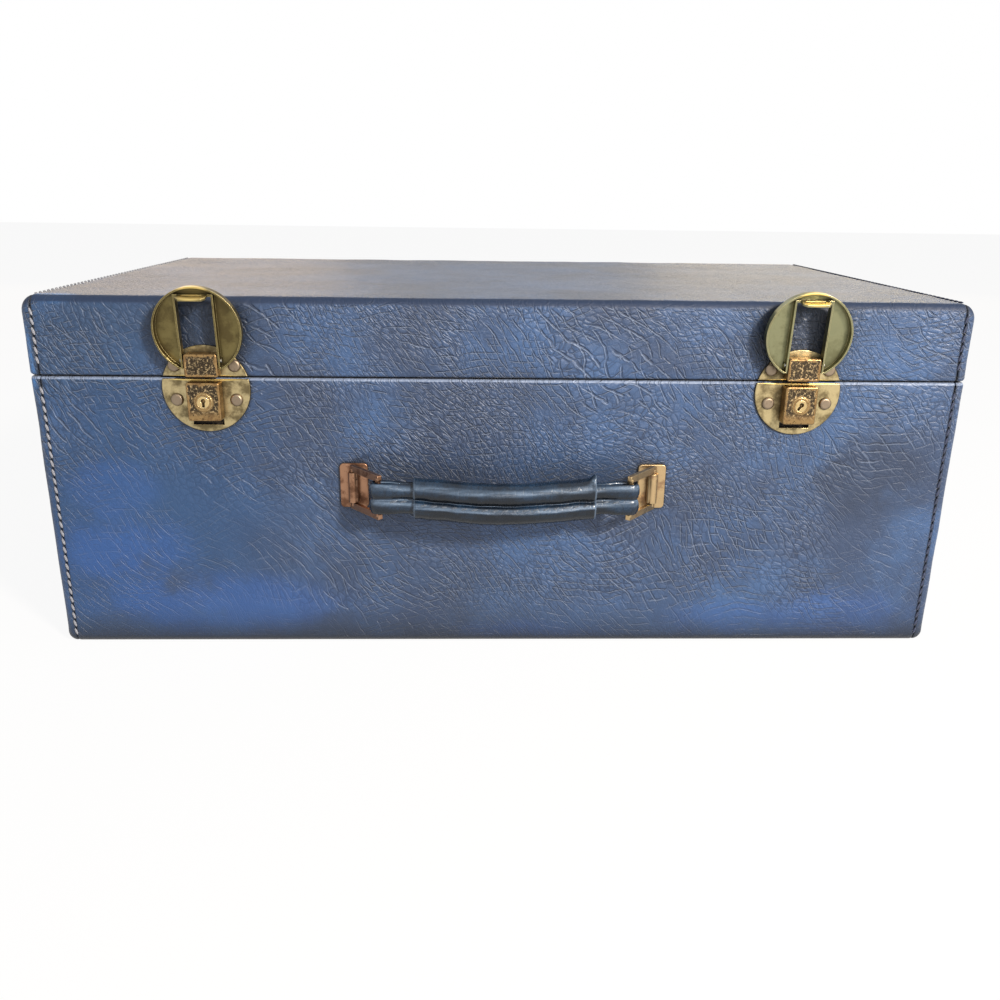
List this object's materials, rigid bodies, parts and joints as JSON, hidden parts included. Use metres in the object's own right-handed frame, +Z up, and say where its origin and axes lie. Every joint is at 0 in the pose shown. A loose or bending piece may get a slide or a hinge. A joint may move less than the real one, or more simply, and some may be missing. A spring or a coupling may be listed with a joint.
{
  "type": "briefcase",
  "caption": "Deep box briefcase in worn blue leather with a hinged lid, round brass hasp locks, ringed leather handle and folding lid stays.",
  "frame": {"origin": "centre of the flat face that the case stands on", "axes": "+X to the right along the case's length, -Y is the front with the latches and the handle, +Z is up"},
  "size_m": [0.46, 0.3011, 0.1868],
  "materials": {
    "blue_leather": "grained and scuffed navy leather, waxed",
    "grip_leather": "polished and creased navy leather",
    "board": "bare thin board",
    "lining": "plain matt cotton over card",
    "latch_brass": "old bright brass, rubbed on its edges",
    "fitting_brass": "coppery worn plating",
    "hinge_brass": "old bright brass, rubbed on its edges",
    "steel": "plain turned steel"
  },
  "bodies": {
    "case": {"base_bottom_leather": "blue_leather", "base_front_leather": "blue_leather", "base_back_leather": "blue_leather", "base_left_end_leather": "blue_leather", "base_right_end_leather": "blue_leather", "base_bottom_board": "board", "base_front_board": "board", "base_back_board": "board", "base_left_board": "board", "base_right_board": "board", "base_lining": "lining", "lock_rivets": "latch_brass", "base_hinge_rivets": "hinge_brass", "handle_clinch_plates": "steel", "left_lock_plate": "latch_brass", "left_lock_housing": "latch_brass", "left_hinge_base_leaf": "hinge_brass", "left_hinge_pin": "steel", "left_stay_base_stud": "hinge_brass", "left_handle_mount": "fitting_brass", "right_lock_plate": "latch_brass", "right_lock_housing": "latch_brass", "right_hinge_base_leaf": "hinge_brass", "right_hinge_pin": "steel", "right_stay_base_stud": "hinge_brass", "right_handle_mount": "fitting_brass"},
    "lid": {"lid_wrap_leather": "blue_leather", "lid_left_end_leather": "blue_leather", "lid_right_end_leather": "blue_leather", "lid_top_board": "board", "lid_front_board": "board", "lid_back_board": "board", "lid_left_board": "board", "lid_right_board": "board", "lid_lining": "lining", "hasp_rivets": "latch_brass", "lid_hinge_rivets": "hinge_brass", "left_hasp_plate": "latch_brass", "left_hasp_bracket": "latch_brass", "left_hasp_pin": "steel", "left_hinge_lid_leaf": "hinge_brass", "left_stay_lid_stud": "hinge_brass", "right_hasp_plate": "latch_brass", "right_hasp_bracket": "latch_brass", "right_hasp_pin": "steel", "right_hinge_lid_leaf": "hinge_brass", "right_stay_lid_stud": "hinge_brass"},
    "left_hasp": {"left_hasp": "latch_brass"},
    "left_lock_plug": {"left_lock_plug": "latch_brass"},
    "left_lock_bolt": {"left_lock_bolt": "steel"},
    "left_stay_arm": {"left_stay_arm": "hinge_brass"},
    "left_handle_ring": {"left_handle_ring": "fitting_brass"},
    "right_hasp": {"right_hasp": "latch_brass"},
    "right_lock_plug": {"right_lock_plug": "latch_brass"},
    "right_lock_bolt": {"right_lock_bolt": "steel"},
    "right_stay_arm": {"right_stay_arm": "hinge_brass"},
    "right_handle_ring": {"right_handle_ring": "fitting_brass"},
    "handle": {"handle_strap": "grip_leather", "grip_sleeve": "grip_leather"}
  },
  "joints": [
    {"name": "lid_hinge", "type": "hinge", "parent": "case", "child": "lid", "pos_m": [0, 0.13585, 0.1425], "axis": [-1, 0, 0], "range_deg": [0, 100]},
    {"name": "left_hasp_pivot", "type": "hinge", "parent": "lid", "child": "left_hasp", "pos_m": [-0.145, -0.1384, 0.1515], "axis": [1, 0, 0], "range_deg": [0, 174], "stiffness_Nm_per_rad": 0.002, "springref_deg": -45.84},
    {"name": "left_lock_turn", "type": "hinge", "parent": "case", "child": "left_lock_plug", "pos_m": [-0.145, -0.133, 0.1317], "axis": [0, 1, 0], "range_deg": [0, 90]},
    {"name": "left_bolt_slide", "type": "slide", "parent": "case", "child": "left_lock_bolt", "axis": [0, 0, -1], "range_m": [0, 0.004]},
    {"name": "left_stay_pivot", "type": "hinge", "parent": "lid", "child": "left_stay_arm", "pos_m": [-0.2203, 0.07502, 0.1545], "axis": [-1, 0, 0], "range_deg": [-50, 0]},
    {"name": "left_ring_swing", "type": "hinge", "parent": "case", "child": "left_handle_ring", "pos_m": [-0.0752, -0.1368, 0.0882], "axis": [0, 0, 1], "range_deg": [0, 30.01]},
    {"name": "right_hasp_pivot", "type": "hinge", "parent": "lid", "child": "right_hasp", "pos_m": [0.145, -0.1384, 0.1515], "axis": [1, 0, 0], "range_deg": [0, 174], "stiffness_Nm_per_rad": 0.002, "springref_deg": -45.84},
    {"name": "right_lock_turn", "type": "hinge", "parent": "case", "child": "right_lock_plug", "pos_m": [0.145, -0.133, 0.1317], "axis": [0, 1, 0], "range_deg": [-35, 55]},
    {"name": "right_bolt_slide", "type": "slide", "parent": "case", "child": "right_lock_bolt", "axis": [0, 0, -1], "range_m": [-0.00156, 0.00245]},
    {"name": "right_stay_pivot", "type": "hinge", "parent": "lid", "child": "right_stay_arm", "pos_m": [0.2203, 0.07502, 0.1545], "axis": [-1, 0, 0], "range_deg": [-50, 0]},
    {"name": "right_ring_swing", "type": "hinge", "parent": "case", "child": "right_handle_ring", "pos_m": [0.0752, -0.1368, 0.0882], "axis": [0, 0, 1], "range_deg": [-30.01, 0]},
    {"name": "handle_slide", "type": "slide", "parent": "case", "child": "handle", "axis": [0, 1, 0], "range_m": [0, 0.00912]}
  ],
  "couplings": [
    {"joint": "left_lock_turn", "follows": "left_bolt_slide", "rad_per_m": 392.48},
    {"joint": "left_stay_pivot", "follows": "lid_hinge", "ratio": -0.5},
    {"joint": "left_ring_swing", "follows": "handle_slide", "rad_per_m": 57.434},
    {"joint": "right_lock_turn", "follows": "right_bolt_slide", "rad_per_m": 392.48},
    {"joint": "right_stay_pivot", "follows": "lid_hinge", "ratio": -0.5},
    {"joint": "right_ring_swing", "follows": "handle_slide", "rad_per_m": -57.434}
  ]
}
